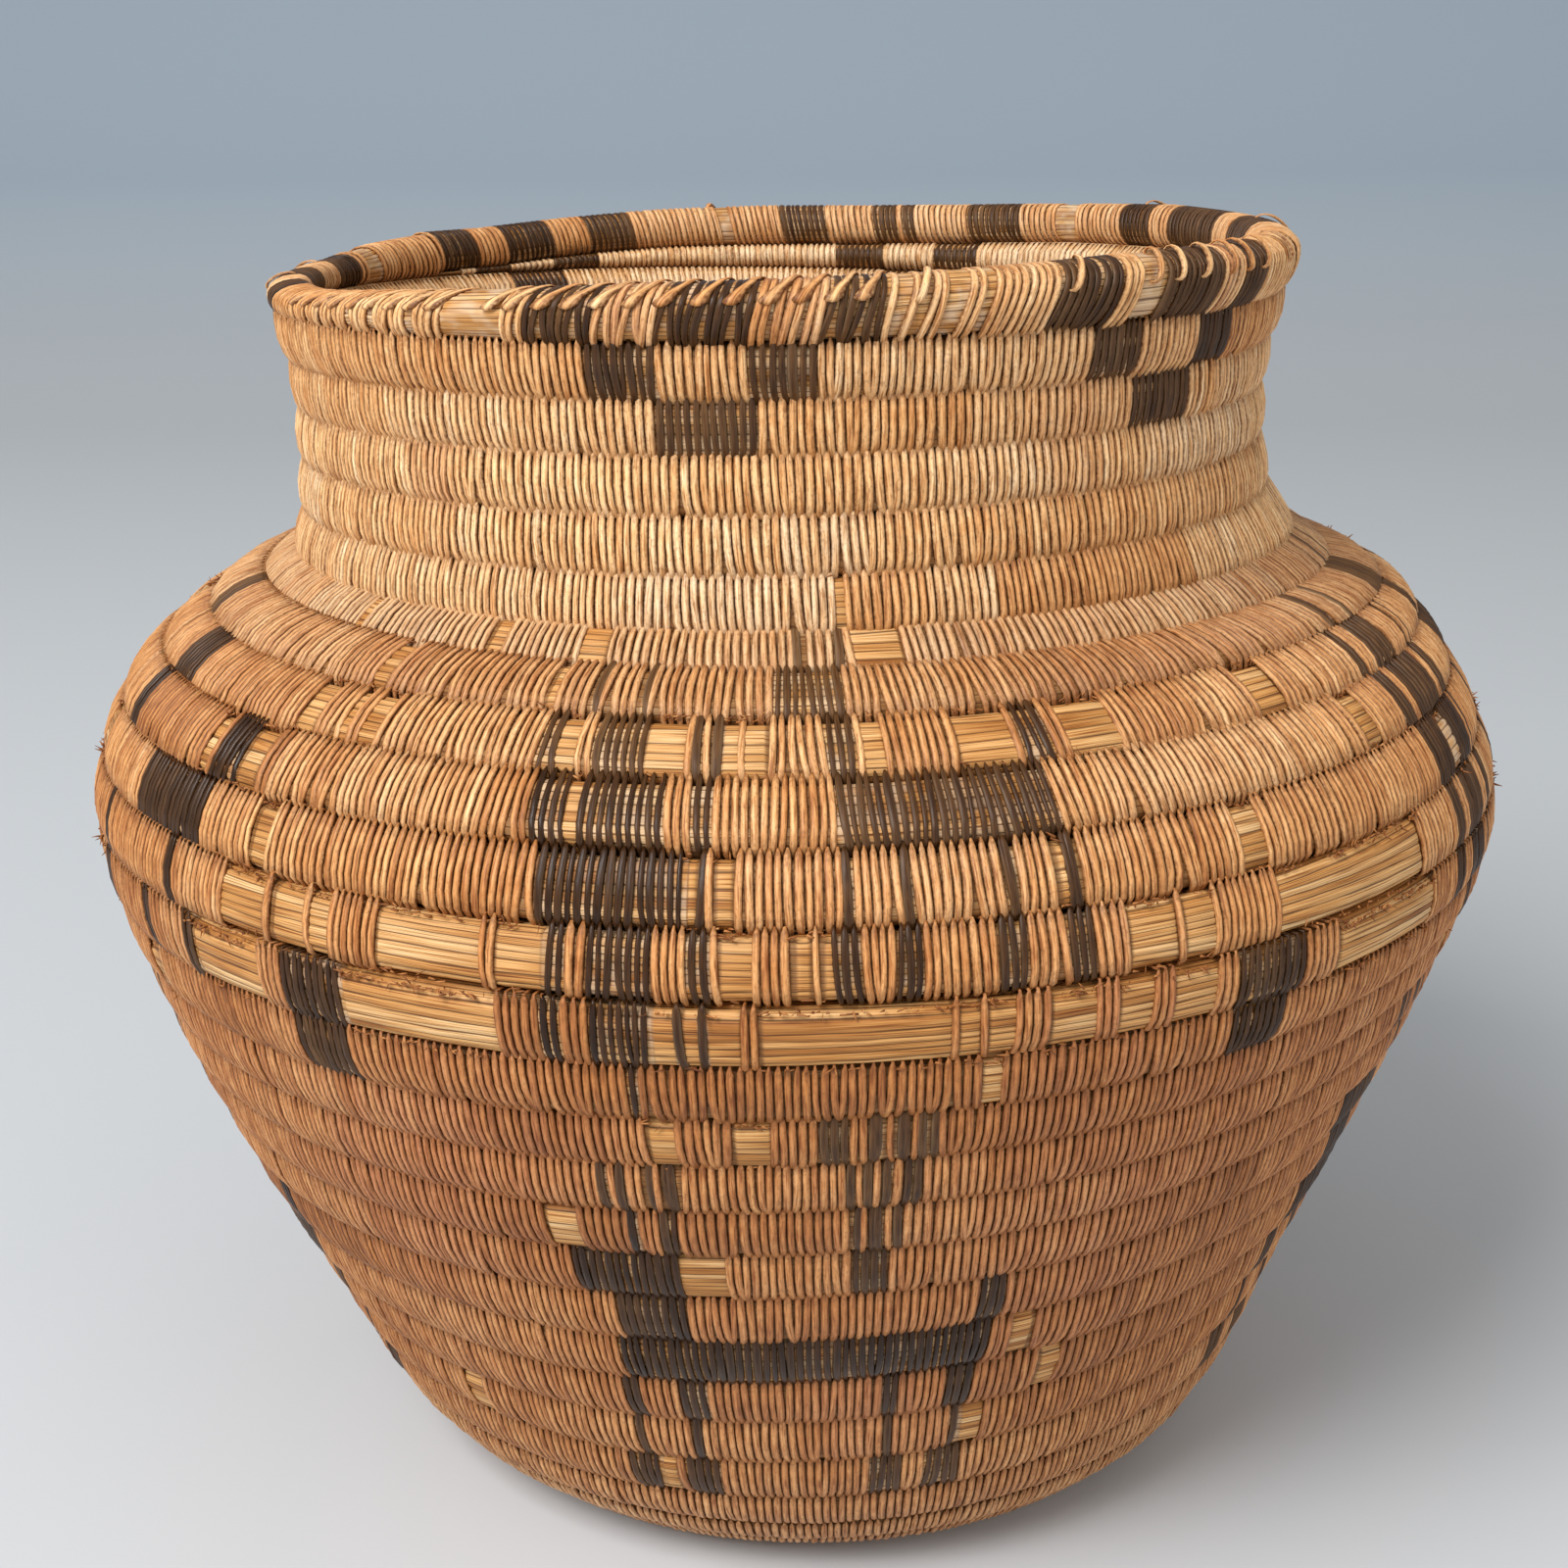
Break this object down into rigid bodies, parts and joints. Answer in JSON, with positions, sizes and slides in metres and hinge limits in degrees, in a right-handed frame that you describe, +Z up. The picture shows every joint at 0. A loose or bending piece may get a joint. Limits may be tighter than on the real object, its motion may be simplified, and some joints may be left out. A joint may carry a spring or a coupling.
{
  "type": "coiled olla basket",
  "caption": "Coiled basket in olla shape: flat base, tapering lower wall, wide shoulder, short neck and thick rim, sewn in pale splints with dark stepped blocks.",
  "frame": {"origin": "on the ground, under the middle of the basket's box", "axes": "+Z up, from the base to the mouth; -Y is the front, with the shoulder's dark motif; +X is the right side seen from the front"},
  "size_m": [0.3253, 0.3254, 0.2885],
  "materials": {
    "base_stitching": "matt willow splints, browned underneath",
    "lower_wall_stitching": "matt willow splints, orange brown with age",
    "belly_stitching": "matt willow splints, worn, over a pale bundle of stems",
    "neck_stitching": "matt willow splints, pale golden tan",
    "rim_stitching": "matt willow splints, worn at the rim",
    "stem_bundle": "straw-coloured split stems with a faint gloss",
    "devils_claw_splints": "matt brown-black splints"
  },
  "bodies": {
    "root": {"start_knot": "base_stitching", "base_coil_01": "base_stitching", "base_coil_02": "base_stitching", "base_coil_03": "base_stitching", "base_coil_04": "base_stitching", "base_coil_05": "base_stitching", "base_coil_06": "base_stitching", "base_coil_07": "base_stitching", "base_coil_08": "base_stitching", "base_coil_09": "base_stitching", "base_coil_10": "base_stitching", "lower_wall_coil_01": "lower_wall_stitching", "lower_wall_coil_02": "lower_wall_stitching", "lower_wall_coil_03": "lower_wall_stitching", "lower_wall_coil_04": "lower_wall_stitching", "lower_wall_coil_05": "lower_wall_stitching", "lower_wall_coil_06": "lower_wall_stitching", "lower_wall_coil_07": "lower_wall_stitching", "lower_wall_coil_08": "lower_wall_stitching", "lower_wall_coil_09": "lower_wall_stitching", "lower_wall_coil_10": "lower_wall_stitching", "lower_wall_coil_11": "lower_wall_stitching", "belly_coil_01": "belly_stitching", "belly_coil_02": "belly_stitching", "belly_coil_03": "belly_stitching", "belly_coil_04": "belly_stitching", "shoulder_coil_01": "belly_stitching", "shoulder_coil_02": "belly_stitching", "shoulder_coil_03": "belly_stitching", "shoulder_coil_04": "belly_stitching", "neck_coil_01": "neck_stitching", "neck_coil_02": "neck_stitching", "neck_coil_03": "neck_stitching", "neck_coil_04": "neck_stitching", "neck_coil_05": "neck_stitching", "rim_coil": "rim_stitching"}
  },
  "joints": []
}
